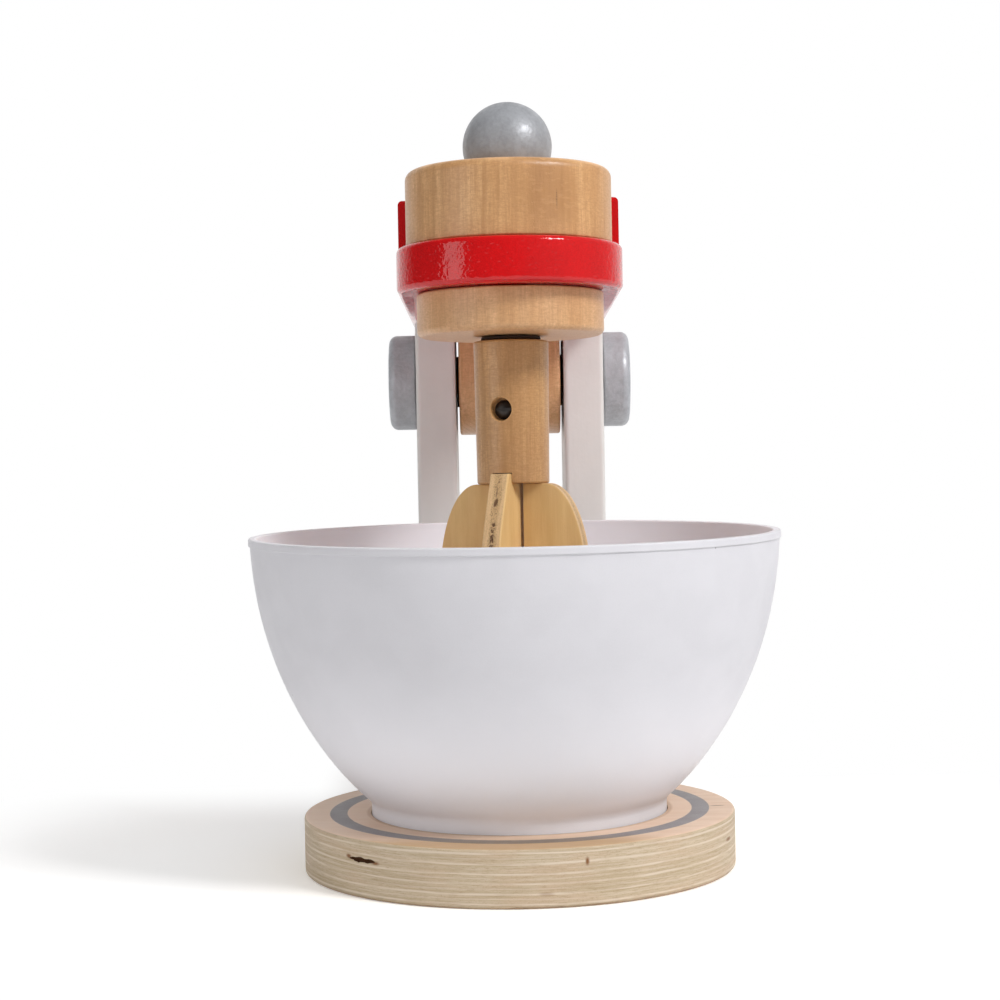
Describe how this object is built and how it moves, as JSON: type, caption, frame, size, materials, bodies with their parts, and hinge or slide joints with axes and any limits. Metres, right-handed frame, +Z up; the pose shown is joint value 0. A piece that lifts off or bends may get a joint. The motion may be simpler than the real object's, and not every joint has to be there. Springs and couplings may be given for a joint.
{
  "type": "toy stand mixer",
  "caption": "Toy stand mixer in wood: round base board with uprights behind, a head that tips back on them, crossed plywood beater turned by a ball knob, and a loose plastic bowl.",
  "frame": {"origin": "on the underside of the base board, on the upright axis of the bowl", "axes": "+Z up along the bowl's axis, +X to the object's right seen from the front, +Y from the beater back to the uprights"},
  "size_m": [0.1714, 0.2375, 0.2464],
  "materials": {
    "base_plywood": "pale birch plywood, clear matt lacquer",
    "blade_plywood": "yellow plywood, clear matt lacquer",
    "beech": "turned wood, satin lacquer",
    "bowl_plastic": "off-white, fine matt",
    "white_paint": "white paint on wood, satin",
    "silver_paint": "silver grey paint on wood, satin",
    "red_paint": "red paint on wood, gloss",
    "steel": "dark plated screws",
    "dark_washer": "black, matt"
  },
  "bodies": {
    "stand": {"base_board": "base_plywood", "base_screw_1": "steel", "base_screw_2": "steel", "base_screw_3": "steel", "base_screw_4": "steel", "left_upright": "white_paint", "right_upright": "white_paint"},
    "bowl": {"bowl": "bowl_plastic"},
    "head": {"pivot_block": "beech", "pivot_dowel": "beech", "left_washer": "dark_washer", "right_washer": "dark_washer", "left_knob": "silver_paint", "right_knob": "silver_paint", "head_plate": "red_paint", "head_block": "red_paint", "plate_screw_1": "steel", "plate_screw_2": "steel", "block_dowel_1": "beech", "block_dowel_2": "beech", "drum": "beech", "collar": "beech"},
    "beater": {"spindle": "beech", "ball_knob": "silver_paint", "spindle_washer": "dark_washer", "beater_shaft": "beech", "lock_screw": "steel", "blade_a": "blade_plywood", "blade_b": "blade_plywood"}
  },
  "joints": [
    {"name": "head_tilt", "type": "hinge", "parent": "stand", "child": "head", "pos_m": [0, 0.1204, 0.15886], "axis": [-1, 0, 0], "range_deg": [0, 80]},
    {"name": "beater_spin", "type": "hinge", "parent": "head", "child": "beater", "pos_m": [0, 0, 0.1996], "axis": [0, 0.0366, 0.9993], "continuous": true},
    {"name": "bowl_lift", "type": "slide", "parent": "stand", "child": "bowl", "axis": [0, 0, 1], "range_m": [0, 0.018]}
  ]
}
